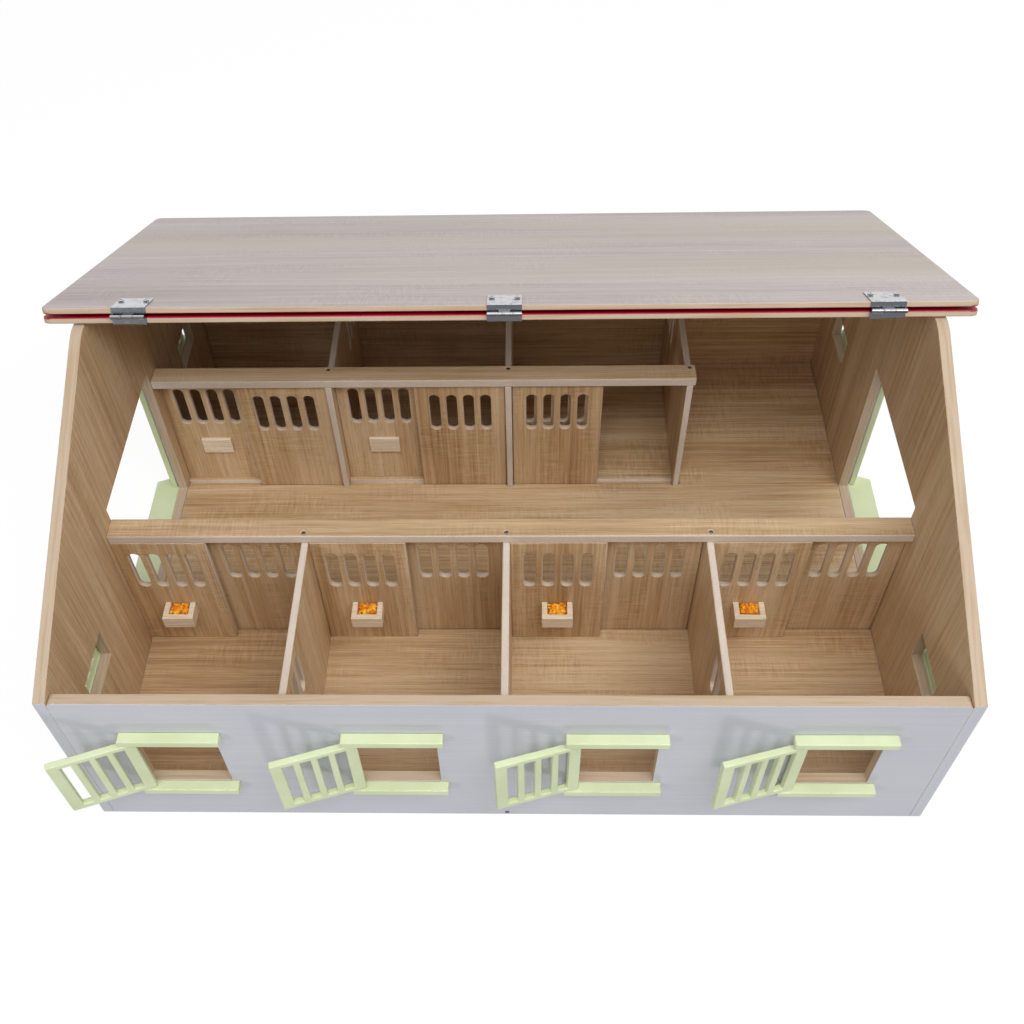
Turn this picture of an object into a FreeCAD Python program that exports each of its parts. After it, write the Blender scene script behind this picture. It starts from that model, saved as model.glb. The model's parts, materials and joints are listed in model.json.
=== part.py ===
"""Toy horse stable with a folding roof, in millimetres.

The origin is on the ground in the middle of the walls' footprint. +X runs along the
building, -Y is the front with the four windows, and +Z is up. The ridge lies over y = 0,
and everything is drawn as it stands in use: the front half of the roof folded back onto
the rear half, the front shutters and the end doors open, one stall door slid open.
"""
import FreeCAD, Part
import Sketcher
import math
import os
import re

# Driving dimensions, each set by itself
SIZES = {
    # Walls and floor
    "wall_length": 678.0,
    "wall_depth": 535.0,
    "eaves_height": 181.0,
    "roof_slope": 24.5,
    "board": 9.0,
    "ridge_radius": 30.0,
    "wall_corner": 5.0,
    "cut_overrun": 1.0,
    # Two rows of stalls with an aisle between them
    "aisle_width": 161.0,
    "partition_board": 6.0,
    "stall_height": 142.0,
    "beam_depth": 19.0,
    "beam_height": 9.0,
    "beam_end": 2.0,
    # Fixed panels and sliding doors
    "panel_board": 5.0,
    "door_lap": 4.0,
    "door_inset": 4.5,
    "door_clearance": 0.5,
    "groove_depth": 3.0,
    "slot_width": 10.0,
    "slot_pitch": 16.0,
    "slot_height": 46.0,
    "slot_drop": 15.0,
    "partition_slot_margin": 5.0,
    # Windows with a bar above and a bar below
    "window_width": 64.0,
    "window_height": 72.0,
    "window_sill": 61.0,
    "side_window_width": 50.0,
    "side_window_height": 33.0,
    "side_window_sill": 89.0,
    "side_window_set": 75.0,
    "bar_depth": 9.0,
    "bar_height": 7.0,
    "bar_overhang": 6.0,
    # Shutters, the pins that they turn on and the angles at which they stand off the wall
    "shutter_board": 5.5,
    "shutter_lap": 1.0,
    "shutter_clearance": 0.5,
    "shutter_stile": 9.0,
    "shutter_rail": 5.0,
    "shutter_bar": 5.0,
    "pin_set": 3.0,
    "pin_standoff": 4.5,
    "pin_radius": 1.0,
    "pin_seat": 4.0,
    "pin_reach": 5.0,
    "pin_fit": 0.02,
    "running_fit": 0.05,
    "bore_relief": 0.5,
    "first_shutter_angle": 19.0,
    "second_shutter_angle": 17.0,
    "third_shutter_angle": 16.0,
    "fourth_shutter_angle": 15.0,
    # Doorways at both ends of the aisle
    "doorway_height": 172.0,
    "leaf_pin_out": 3.5,
    "leaf_meeting_gap": 4.0,
    "leaf_slot_margin": 14.0,
    "front_leaf_angle": 8.0,
    "rear_leaf_angle": 15.0,
    "doorstep_depth": 24.0,
    "doorstep_lap": 8.5,
    "doorstep_flare": 9.0,
    # Feed troughs and the blocks behind them
    "trough_width": 27.0,
    "trough_depth": 18.0,
    "trough_height": 14.0,
    "trough_wall": 5.0,
    "trough_floor": 3.0,
    "trough_rim": 57.0,
    "feed_drop": 1.5,
    "block_width": 29.5,
    "block_height": 19.0,
    "block_depth": 3.5,
    "block_sill": 42.0,
    # Roof boards and the three hinges at the ridge
    "roof_board": 5.0,
    "roof_side_overhang": 23.5,
    "roof_eaves_overhang": 28.0,
    "roof_corner": 7.0,
    "rear_gap": 1.4,
    "front_gap": 1.0,
    "edge_setback": 4.5,
    "hinge_inset": 46.5,
    "hinge_width": 27.0,
    "hinge_leaf": 24.0,
    "hinge_plate": 0.8,
    "knuckle_radius": 1.7,
    "knuckle_gap": 0.3,
    "hinge_corner": 1.5,
    "hinge_bend": 0.7,
    "hinge_pin_radius": 0.8,
    # Screws
    "hinge_screw_row": 15.0,
    "hinge_screw_pitch": 20.0,
    "hinge_screw_head": 2.4,
    "hinge_screw_rise": 0.9,
    "hinge_screw_bite": 3.5,
    "wood_screw_head": 1.8,
    "wood_screw_rise": 0.6,
    "wood_screw_seat": 0.8,
    "screw_play": 0.2,
    "wood_screw_edge": 4.0,
    "wood_screw_bite": 14.0,
    "screw_shank": 0.9,
}

# Sizes and places that follow from the driving dimensions
LAYOUT = {
    "half_length": "wall_length / 2",
    "half_depth": "wall_depth / 2",
    "inner_half": "half_length - board",
    "inner_depth": "half_depth - board",
    "apex_height": "eaves_height + half_depth * tan(roof_slope)",
    "stall_pitch": "(2 * inner_half + partition_board) / 4",
    "stall_width": "stall_pitch - partition_board",
    "aisle_half": "aisle_width / 2",
    "stall_face": "aisle_half + beam_depth",
    "beam_underside": "board + stall_height",
    "panel_width": "stall_width / 2",
    "panel_middle": "stall_face - panel_board / 2",
    "door_width": "stall_width / 2 + door_lap",
    "door_middle": "aisle_half + door_inset + panel_board / 2",
    "door_height": "stall_height + 2 * groove_depth - 2 * door_clearance",
    "groove_width": "panel_board + 2 * door_clearance",
    "rear_beam_end": "stall_pitch + partition_board / 2 + beam_end",
    "slot_span": "3 * slot_pitch + slot_width",
    "slot_sill": "stall_height - slot_drop - slot_height",
    "window_span": "3 * stall_pitch",
    "pin_length": "pin_seat + shutter_clearance + pin_reach",
    "side_window_middle": "half_depth - side_window_set",
    "leaf_pin_place": "aisle_half + leaf_pin_out",
    "leaf_width": "leaf_pin_place + pin_set - leaf_meeting_gap / 2",
    "leaf_height": "doorway_height - board - 2 * shutter_clearance",
    "doorstep_outer": "aisle_half + doorstep_lap",
    "trough_room": "trough_width - 2 * trough_wall",
    "trough_base": "board + trough_rim - trough_height",
    "pivot_height": "apex_height + (roof_board + rear_gap) / cos(roof_slope)",
    "roof_length": "wall_length + 2 * roof_side_overhang",
    "roof_panel": "half_depth / cos(roof_slope) + roof_eaves_overhang",
    "hinge_spread": "half_length - hinge_inset",
    "knuckle_pitch": "hinge_width / 3",
    "knuckle_length": "knuckle_pitch - knuckle_gap",
}

FRONT, REAR = -1, 1
LEFT, RIGHT = -1, 1
ROW_NAMES = {FRONT: "front", REAR: "rear"}
END_NAMES = {LEFT: "left", RIGHT: "right"}
STALL_COUNTS = {FRONT: 4, REAR: 3}
OPEN_DOOR = "rear_door_3"
SHUTTER_ANGLES = [f"{place_word}_shutter_angle" for place_word in ("first", "second", "third", "fourth")]

ACROSS = FreeCAD.Vector(1, 0, 0)
UP = FreeCAD.Vector(0, 0, 1)
WORD = re.compile(r"[a-z][a-z_]*")

doc = FreeCAD.newDocument("HorseStable")
sheet = doc.addObject("Spreadsheet::Sheet", "Sizes")
for row_number, (alias, size) in enumerate(SIZES.items(), start=1):
    sheet.set(f"A{row_number}", alias)
    sheet.set(f"B{row_number}", str(size))
    sheet.setAlias(f"B{row_number}", alias)
doc.recompute()

nodes = []


# Formulas and bindings
def formula(text):
    """Spell a formula out in the sheet's cells; a layout name becomes its own formula."""
    def spell(match):
        word = match.group(0)
        if word in LAYOUT:
            return f"({formula(LAYOUT[word])})"
        return f"Sizes.{word}" if word in SIZES else word
    return WORD.sub(spell, text)


def measure(text):
    return float(sheet.evalExpression(formula(text)))


def bind(item, name, text):
    item.setExpression(name, formula(text))


def place(item, x="0", y="0", z="0", axis=UP, angle="0"):
    """Set an object's place, and its turn about one axis, from formulas."""
    item.Placement = FreeCAD.Placement(FreeCAD.Vector(), FreeCAD.Rotation(axis, measure(angle)))
    for name, text in (("x", x), ("y", y), ("z", z)):
        bind(item, f".Placement.Base.{name}", text)
    if measure(angle):
        bind(item, ".Placement.Rotation.Angle", angle)
    return item


def keep(item, label):
    """Name a finished sub-part, so that it is written out under that name."""
    item.Label = label
    nodes.append(item)
    return item


# Plain solids
def box(name, length, width, height, x="0", y="0", z="0"):
    solid = doc.addObject("Part::Box", name)
    for side, text in (("Length", length), ("Width", width), ("Height", height)):
        bind(solid, side, text)
    return place(solid, x, y, z)


def cylinder(name, radius, height, x="0", y="0", z="0", axis=UP, angle="0"):
    solid = doc.addObject("Part::Cylinder", name)
    bind(solid, "Radius", radius)
    bind(solid, "Height", height)
    return place(solid, x, y, z, axis, angle)


def cut(name, base, tool):
    result = doc.addObject("Part::Cut", name)
    result.Base = base
    result.Tool = tool
    return result


def fuse(name, solids):
    if len(solids) == 1:
        return solids[0]
    result = doc.addObject("Part::MultiFuse", name)
    result.Shapes = solids
    return result


def group(label, solids):
    """Keep several like pieces together as separate solids of one sub-part."""
    result = doc.addObject("Part::Compound", label)
    result.Links = solids
    return keep(result, label)


# Sketched bodies
def sketch(body, role, lift="0"):
    """Start a sketch on one of a body's own origin planes, raised along its normal."""
    plane = next(item for item in body.Origin.OriginFeatures if item.Role == role)
    drawing = body.newObject("Sketcher::SketchObject", f"{body.Name}_sketch")
    drawing.AttachmentSupport = [(plane, "")]
    drawing.MapMode = "FlatFace"
    bind(drawing, ".AttachmentOffset.Base.z", lift)
    return drawing


def pin_down(drawing, geometry, vertex, x, y):
    """Tie one point of a sketch to formulas for its two coordinates."""
    for kind, text in (("DistanceX", x), ("DistanceY", y)):
        rule = Sketcher.Constraint(kind, -1, 1, geometry, vertex, measure(text))
        bind(drawing, f"Constraints[{drawing.addConstraint(rule)}]", text)


def polygon(drawing, corners):
    """Draw a closed outline through corners given as pairs of formulas."""
    points = [FreeCAD.Vector(measure(x), measure(y), 0) for x, y in corners]
    first = drawing.GeometryCount
    count = len(points)
    for index in range(count):
        drawing.addGeometry(Part.LineSegment(points[index], points[(index + 1) % count]))
    for index in range(count):
        follower = first + (index + 1) % count
        drawing.addConstraint(Sketcher.Constraint("Coincident", first + index, 2, follower, 1))
    for index, (x, y) in enumerate(corners):
        pin_down(drawing, first + index, 1, x, y)


def rectangle(drawing, x, y, width, height):
    right = f"{x} + {width}"
    top = f"{y} + {height}"
    polygon(drawing, [(x, y), (right, y), (right, top), (x, top)])


def circle(drawing, x, y, radius):
    ring = Part.Circle(FreeCAD.Vector(measure(x), measure(y), 0), UP, measure(radius))
    index = drawing.addGeometry(ring)
    pin_down(drawing, index, 3, x, y)
    rule = Sketcher.Constraint("Radius", index, measure(radius))
    bind(drawing, f"Constraints[{drawing.addConstraint(rule)}]", radius)


def upright_slot(drawing, x, y, width, height):
    """Draw a slot with round ends; x is its left side and y its lowest point."""
    radius = f"({width}) / 2"
    middle = f"{x} + {radius}"
    low = f"{y} + {radius}"
    high = f"{y} + {height} - {radius}"
    upper = FreeCAD.Vector(measure(middle), measure(high), 0)
    lower = FreeCAD.Vector(measure(middle), measure(low), 0)
    reach = FreeCAD.Vector(measure(radius), 0, 0)
    drawing.addGeometry(Part.ArcOfCircle(Part.Circle(upper, UP, measure(radius)), 0, math.pi))
    drawing.addGeometry(Part.LineSegment(upper - reach, lower - reach))
    drawing.addGeometry(Part.ArcOfCircle(Part.Circle(lower, UP, measure(radius)), math.pi, 2 * math.pi))
    drawing.addGeometry(Part.LineSegment(lower + reach, upper + reach))
    for index in range(4):
        drawing.addConstraint(Sketcher.Constraint("Tangent", index, 2, (index + 1) % 4, 1))
    drawing.addConstraint(Sketcher.Constraint("Equal", 0, 2))
    pin_down(drawing, 0, 3, middle, high)
    pin_down(drawing, 2, 3, middle, low)
    rule = Sketcher.Constraint("Radius", 0, measure(radius))
    bind(drawing, f"Constraints[{drawing.addConstraint(rule)}]", radius)


def pad(body, drawing, length, midplane=False):
    feature = body.newObject("PartDesign::Pad", f"{body.Name}_pad")
    feature.Profile = drawing
    feature.Midplane = midplane
    bind(feature, "Length", length)
    doc.recompute()
    return feature


def pocket(body, drawing, depth=None, upward=False):
    """Cut a sketch through the whole body, or to a depth along or against its normal."""
    before = body.Shape.Volume
    feature = body.newObject("PartDesign::Pocket", f"{body.Name}_pocket")
    feature.Profile = drawing
    if depth is None:
        feature.Type = "ThroughAll"
        feature.Midplane = True
    else:
        feature.Reversed = upward
        bind(feature, "Length", depth)
    doc.recompute()
    if body.Shape.Volume >= before:
        raise RuntimeError(f"{feature.Name} cut nothing")
    return feature


def repeat(body, feature, drawing, span, count):
    """Repeat a cut along the sketch's own horizontal."""
    pattern = body.newObject("PartDesign::LinearPattern", f"{body.Name}_pattern")
    pattern.Originals = [feature]
    pattern.Direction = (drawing, ["H_Axis"])
    pattern.Occurrences = count
    bind(pattern, "Length", span)
    body.Tip = pattern
    doc.recompute()
    return pattern


def round_edges(body, feature, radius, chosen):
    """Fillet the edges of a feature that a test picks out."""
    edges = [f"Edge{index}" for index, edge in enumerate(feature.Shape.Edges, start=1) if chosen(edge)]
    fillet = body.newObject("PartDesign::Fillet", f"{body.Name}_fillet")
    fillet.Base = (feature, edges)
    bind(fillet, "Radius", radius)
    doc.recompute()
    return fillet


def plate(name, role, x, y, width, height, thickness):
    """A board lying evenly on both sides of an origin plane of its own body."""
    body = doc.addObject("PartDesign::Body", name)
    drawing = sketch(body, role)
    rectangle(drawing, x, y, width, height)
    pad(body, drawing, thickness, midplane=True)
    return body


def cut_slots(body, role, x, y):
    """Cut the group of four upright slots that stall boards and end doors share."""
    drawing = sketch(body, role)
    upright_slot(drawing, x, y, "slot_width", "slot_height")
    repeat(body, pocket(body, drawing), drawing, "3 * slot_pitch", 4)


# Shell of the building
def floor_board():
    body = doc.addObject("PartDesign::Body", "floor_board")
    drawing = sketch(body, "XY_Plane")
    rectangle(drawing, "-inner_half", "-inner_depth", "2 * inner_half", "2 * inner_depth")
    pad(body, drawing, "board")
    grooves = sketch(body, "XY_Plane", "board")
    rectangle(grooves, "-inner_half", "-door_middle - groove_width / 2", "2 * inner_half", "groove_width")
    rectangle(grooves, "-inner_half", "door_middle - groove_width / 2",
              "inner_half + rear_beam_end", "groove_width")
    pocket(body, grooves, "groove_depth")
    keep(body, "floor_board")


def long_wall(row):
    """A long wall with rounded upper corners; the front one has a window for each stall."""
    name = "front_wall" if row == FRONT else "back_wall"
    body = plate(name, "XZ_Plane", "-inner_half", "0", "2 * inner_half", "eaves_height", "board")
    level = measure("eaves_height") - measure("pin_fit")
    span = measure("board") + measure("pin_fit")
    round_edges(body, body.Tip, "wall_corner",
                lambda edge: min(v.Z for v in edge.Vertexes) > level and edge.Length < span)
    if row == FRONT:
        drawing = sketch(body, "XZ_Plane")
        left = "-window_span / 2 - window_width / 2"
        rectangle(drawing, left, "window_sill", "window_width", "window_height")
        repeat(body, pocket(body, drawing), drawing, "window_span", 4)
    place(body, y=f"{row} * (half_depth - board / 2)")
    keep(body, name)


def end_wall(end):
    """A gable with a rounded peak, the doorway of the aisle and a window in each stall row."""
    name = f"{END_NAMES[end]}_end_wall"
    body = doc.addObject("PartDesign::Body", name)
    drawing = sketch(body, "YZ_Plane")
    polygon(drawing, [
        ("-half_depth", "0"),
        ("half_depth", "0"),
        ("half_depth", "eaves_height"),
        ("0", "apex_height"),
        ("-half_depth", "eaves_height"),
    ])
    gable = pad(body, drawing, "board", midplane=True)
    peak = measure("apex_height") - measure("pin_fit")
    round_edges(body, gable, "ridge_radius", lambda edge: min(v.Z for v in edge.Vertexes) > peak)
    holes = sketch(body, "YZ_Plane")
    rectangle(holes, "-aisle_half", "board", "aisle_width", "doorway_height - board")
    for row in (FRONT, REAR):
        left = f"{row} * side_window_middle - side_window_width / 2"
        rectangle(holes, left, "side_window_sill", "side_window_width", "side_window_height")
    pocket(body, holes)
    place(body, x=f"{end} * (half_length - board / 2)")
    keep(body, name)


# Stall rows
def partition(row, number):
    """A wall between two stalls, with its slots next to the long wall."""
    name = f"{ROW_NAMES[row]}_partition_{number}"
    length = "inner_depth - aisle_half"
    if row == FRONT:
        start = "-inner_depth"
        slots = "-inner_depth + partition_slot_margin"
    else:
        start = "aisle_half"
        slots = "inner_depth - partition_slot_margin - slot_span"
    body = plate(name, "YZ_Plane", start, "0", length, "stall_height", "partition_board")
    cut_slots(body, "YZ_Plane", slots, "slot_sill")
    place(body, x=f"{number - 2} * stall_pitch", z="board")
    keep(body, name)


def beam(row):
    """A bar over the partitions, grooved below for the doors and with seats for its screws."""
    name = f"{ROW_NAMES[row]}_beam"
    end = "inner_half" if row == FRONT else "rear_beam_end"
    body = doc.addObject("PartDesign::Body", name)
    section = sketch(body, "YZ_Plane")
    near, far = f"{row} * aisle_half", f"{row} * stall_face"
    groove_near = f"{row} * (door_middle - groove_width / 2)"
    groove_far = f"{row} * (door_middle + groove_width / 2)"
    polygon(section, [
        (near, "0"), (groove_near, "0"), (groove_near, "groove_depth"), (groove_far, "groove_depth"),
        (groove_far, "0"), (far, "0"), (far, "beam_height"), (near, "beam_height"),
    ])
    pad(body, section, f"inner_half + {end}")
    seats = sketch(body, "XY_Plane", "beam_height")
    circle(seats, "inner_half - stall_pitch", f"{row} * (stall_face - wood_screw_edge)",
           "wood_screw_head + screw_play")
    repeat(body, pocket(body, seats, "wood_screw_seat"), seats, "2 * stall_pitch", 3)
    place(body, x="-inner_half", z="beam_underside")
    keep(body, name)


def stall_left(number):
    """The left inner side of a stall, counted from the left end wall."""
    return f"-inner_half + {number - 1} * stall_pitch"


def stall_panel(row, number):
    name = f"{ROW_NAMES[row]}_panel_{number}"
    body = plate(name, "XZ_Plane", "0", "0", "panel_width", "stall_height", "panel_board")
    cut_slots(body, "XZ_Plane", "(panel_width - slot_span) / 2", "slot_sill")
    place(body, x=stall_left(number), y=f"{row} * panel_middle", z="board")
    keep(body, name)


def sliding_door(row, number):
    """A door that runs in the grooves of floor and beam; it shuts against the right partition."""
    name = f"{ROW_NAMES[row]}_door_{number}"
    body = plate(name, "XZ_Plane", "0", "0", "door_width", "door_height", "panel_board")
    cut_slots(body, "XZ_Plane", "(door_width - slot_span) / 2", "slot_sill + groove_depth - door_clearance")
    if name == OPEN_DOOR:
        left = f"{stall_left(number)} + door_clearance"
    else:
        left = f"{stall_left(number)} + stall_width - door_width - door_clearance"
    place(body, x=left, y=f"{row} * door_middle", z="board - groove_depth + door_clearance")
    keep(body, name)


def troughs():
    """Wooden feed boxes on the stall side of the fixed panels, with feed and backing blocks."""
    boxes, feeds, blocks = [], [], []
    for row, count in STALL_COUNTS.items():
        for number in range(1, count + 1):
            tag = f"{ROW_NAMES[row]}_{number}"
            middle = f"{stall_left(number)} + panel_width / 2"
            inward = "0" if row == FRONT else "180"
            outer = box(f"trough_outer_{tag}", "trough_width", "trough_depth", "trough_height",
                        "-trough_width / 2", "-trough_depth")
            room = box(f"trough_room_{tag}", "trough_room", "trough_depth - trough_wall + cut_overrun",
                       "trough_height - trough_floor + cut_overrun",
                       "-trough_room / 2", "trough_wall - trough_depth", "trough_floor")
            trough = cut(f"trough_{tag}", outer, room)
            boxes.append(place(trough, middle, f"{row} * stall_face", "trough_base", UP, inward))
            room_depth = "(trough_depth - trough_wall)"
            feeds.append(box(f"feed_{tag}", "trough_room", room_depth,
                             "trough_height - trough_floor - feed_drop", f"{middle} - trough_room / 2",
                             f"{row} * (stall_face + {room_depth} / 2) - {room_depth} / 2",
                             "trough_base + trough_floor"))
            back = f"{row} * (stall_face - panel_board - block_depth / 2) - block_depth / 2"
            blocks.append(box(f"block_{tag}", "block_width", "block_depth", "block_height",
                              f"{middle} - block_width / 2", back, "board + block_sill"))
    group("feed_troughs", boxes)
    group("trough_feed", feeds)
    group("trough_blocks", blocks)


# Windows, shutters and end doors
def front_window(index):
    """Left side of a front window, counted from zero at the left end."""
    return f"{index} * stall_pitch - window_span / 2 - window_width / 2"


def front_pin(index):
    return f"{front_window(index)} - shutter_lap + pin_set"


def side_pin(row):
    return f"{row} * (side_window_middle + side_window_width / 2 + shutter_lap - pin_set)"


def bored_bar(name, length, width, x, y, z, pins, below):
    """A bar with a seat for a pin in its lower face (below) or in its upper face."""
    bar = box(f"{name}_blank", length, width, "bar_height", x, y, z)
    start = z if below else f"{z} + bar_height - pin_seat"
    for count, (pin_x, pin_y) in enumerate(pins):
        tool = cylinder(f"{name}_seat_{count}", "pin_radius + pin_fit", "pin_seat", pin_x, pin_y, start)
        bar = cut(f"{name}_cut_{count}", bar, tool)
    return bar


def front_window_bars():
    face = "-half_depth - bar_depth"
    lintels, sills = [], []
    for index in range(STALL_COUNTS[FRONT]):
        left = f"{front_window(index)} - bar_overhang"
        length = "window_width + 2 * bar_overhang"
        pin = [(front_pin(index), "-half_depth - pin_standoff")]
        lintels.append(bored_bar(f"front_lintel_{index + 1}", length, "bar_depth", left, face,
                                 "window_sill + window_height", pin, True))
        sills.append(bored_bar(f"front_sill_{index + 1}", length, "bar_depth", left, face,
                               "window_sill - bar_height", pin, False))
    group("front_window_lintels", lintels)
    group("front_window_sills", sills)


def side_window_bars():
    lintels, sills = [], []
    for end in (LEFT, RIGHT):
        for row in (FRONT, REAR):
            tag = f"{END_NAMES[end]}_{ROW_NAMES[row]}"
            x = f"{end} * (half_length + bar_depth / 2) - bar_depth / 2"
            y = f"{row} * side_window_middle - side_window_width / 2 - bar_overhang"
            length = "side_window_width + 2 * bar_overhang"
            pin = [(f"{end} * (half_length + pin_standoff)", side_pin(row))]
            lintels.append(bored_bar(f"{tag}_lintel", "bar_depth", length, x, y,
                                     "side_window_sill + side_window_height", pin, True))
            sills.append(bored_bar(f"{tag}_sill", "bar_depth", length, x, y,
                                   "side_window_sill - bar_height", pin, False))
    group("side_window_lintels", lintels)
    group("side_window_sills", sills)


def bore_ends(body, height):
    """Bore the two ends of a leaf for its pins; the leaf's own Z axis is the line of the pins."""
    depth = "pin_reach + bore_relief"
    for lift, upward in (("0", True), (height, False)):
        drawing = sketch(body, "XY_Plane", lift)
        circle(drawing, "0", "0", "pin_radius + running_fit")
        pocket(body, drawing, depth, upward)


def shutter(name, width, height, openings):
    """A frame of two stiles and two rails with upright bars between them."""
    body = plate(name, "XZ_Plane", "-pin_set", "0", width, height, "shutter_board")
    opening = f"({width} - 2 * shutter_stile - {openings - 1} * shutter_bar) / {openings}"
    drawing = sketch(body, "XZ_Plane")
    rectangle(drawing, "shutter_stile - pin_set", "shutter_rail", opening, f"{height} - 2 * shutter_rail")
    span = f"{openings - 1} * ({opening} + shutter_bar)"
    repeat(body, pocket(body, drawing), drawing, span, openings)
    bore_ends(body, height)
    return body


def front_shutters():
    width = "(window_width + 2 * shutter_lap)"
    height = "(window_height - 2 * shutter_clearance)"
    for index, stand_off in enumerate(SHUTTER_ANGLES):
        name = f"front_shutter_{index + 1}"
        body = shutter(name, width, height, openings=4)
        place(body, front_pin(index), "-half_depth - pin_standoff", "window_sill + shutter_clearance",
              UP, f"{stand_off} - 180")
        keep(body, name)


def side_shutters():
    width = "(side_window_width + 2 * shutter_lap)"
    height = "(side_window_height - 2 * shutter_clearance)"
    for end in (LEFT, RIGHT):
        for row in (FRONT, REAR):
            name = f"{END_NAMES[end]}_{ROW_NAMES[row]}_side_shutter"
            body = shutter(name, width, height, openings=3)
            place(body, f"{end} * (half_length + pin_standoff)", side_pin(row),
                  "side_window_sill + shutter_clearance", UP, f"{-90 * row}")
            keep(body, name)


def end_doors():
    """Two leaves in each doorway, slotted near the top, swung out against the end walls."""
    for end in (LEFT, RIGHT):
        for row in (FRONT, REAR):
            name = f"{END_NAMES[end]}_{ROW_NAMES[row]}_end_door"
            body = plate(name, "XZ_Plane", "-pin_set", "0", "leaf_width", "leaf_height", "shutter_board")
            cut_slots(body, "XZ_Plane", "(leaf_width - slot_span) / 2 - pin_set",
                      "leaf_height - leaf_slot_margin - slot_height")
            bore_ends(body, "leaf_height")
            place(body, f"{end} * (half_length + pin_standoff)", f"{row} * leaf_pin_place",
                  "board + shutter_clearance", UP,
                  f"{-90 * row} + {end * row} * (180 - {ROW_NAMES[row]}_leaf_angle)")
            keep(body, name)


def doorway_bars():
    lintels, steps = [], []
    for end in (LEFT, RIGHT):
        side = END_NAMES[end]
        x = f"{end} * (half_length + bar_depth / 2) - bar_depth / 2"
        pin_x = f"{end} * (half_length + pin_standoff)"
        pins = [(pin_x, f"{row} * leaf_pin_place") for row in (FRONT, REAR)]
        lintels.append(bored_bar(f"{side}_doorway_lintel", "bar_depth", "2 * (leaf_pin_place + bar_overhang)",
                                 x, "-leaf_pin_place - bar_overhang", "doorway_height", pins, True))
        step = doc.addObject("PartDesign::Body", f"{side}_doorstep")
        drawing = sketch(step, "XY_Plane")
        polygon(drawing, [
            ("0", "-doorstep_outer - doorstep_flare"),
            (f"{end} * doorstep_depth", "-doorstep_outer"),
            (f"{end} * doorstep_depth", "doorstep_outer"),
            ("0", "doorstep_outer + doorstep_flare"),
        ])
        pad(step, drawing, "board")
        seats = sketch(step, "XY_Plane", "board")
        for row in (FRONT, REAR):
            circle(seats, f"{end} * pin_standoff", f"{row} * leaf_pin_place", "pin_radius + pin_fit")
        pocket(step, seats, "pin_seat")
        steps.append(place(step, x=f"{end} * half_length"))
    group("doorway_lintels", lintels)
    group("doorsteps", steps)


def pins():
    """Steel pins, one seated in the bar above each leaf and one in the bar or step below."""
    shutter_pins, door_pins = [], []
    low, high = "pin_seat", "shutter_clearance + pin_reach"
    for index in range(STALL_COUNTS[FRONT]):
        sill, top = "window_sill", "window_sill + window_height"
        for end_name, z in (("low", f"{sill} - {low}"), ("high", f"{top} - ({high})")):
            shutter_pins.append(cylinder(f"front_pin_{index + 1}_{end_name}", "pin_radius", "pin_length",
                                         front_pin(index), "-half_depth - pin_standoff", z))
    for end in (LEFT, RIGHT):
        x = f"{end} * (half_length + pin_standoff)"
        for row in (FRONT, REAR):
            tag = f"{END_NAMES[end]}_{ROW_NAMES[row]}"
            sill, top = "side_window_sill", "side_window_sill + side_window_height"
            for end_name, z in (("low", f"{sill} - {low}"), ("high", f"{top} - ({high})")):
                shutter_pins.append(cylinder(f"{tag}_pin_{end_name}", "pin_radius", "pin_length",
                                             x, side_pin(row), z))
            for end_name, z in (("low", f"board - {low}"), ("high", f"doorway_height - ({high})")):
                door_pins.append(cylinder(f"{tag}_door_pin_{end_name}", "pin_radius", "pin_length",
                                          x, f"{row} * leaf_pin_place", z))
    group("shutter_pins", shutter_pins)
    group("end_door_pins", door_pins)


# Roof: its parts share a frame at the hinge line, Y down the rear slope and Z square to it
def roof_place(item, x="0"):
    return place(item, x, "0", "pivot_height", ACROSS, "-roof_slope")


def roof_point(along, normal):
    """World Y and Z of a point given along the rear slope and square to it from the hinge line."""
    y = f"({along}) * cos(roof_slope) + ({normal}) * sin(roof_slope)"
    z = f"pivot_height - ({along}) * sin(roof_slope) + ({normal}) * cos(roof_slope)"
    return y, z


def roof_panel(name, underside):
    """A roof board with rounded corners."""
    body = doc.addObject("PartDesign::Body", name)
    drawing = sketch(body, "XY_Plane", underside)
    rectangle(drawing, "-roof_length / 2", "edge_setback", "roof_length", "roof_panel")
    slab = pad(body, drawing, "roof_board")
    height = measure("roof_board") / 2

    def upright(edge):
        run = edge.Vertexes[-1].Point - edge.Vertexes[0].Point
        return abs(run.z) > height

    round_edges(body, slab, "roof_corner", upright)
    roof_place(body)
    keep(body, name)


HINGES = {"left": "-hinge_spread", "middle": "0", "right": "hinge_spread"}


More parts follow.
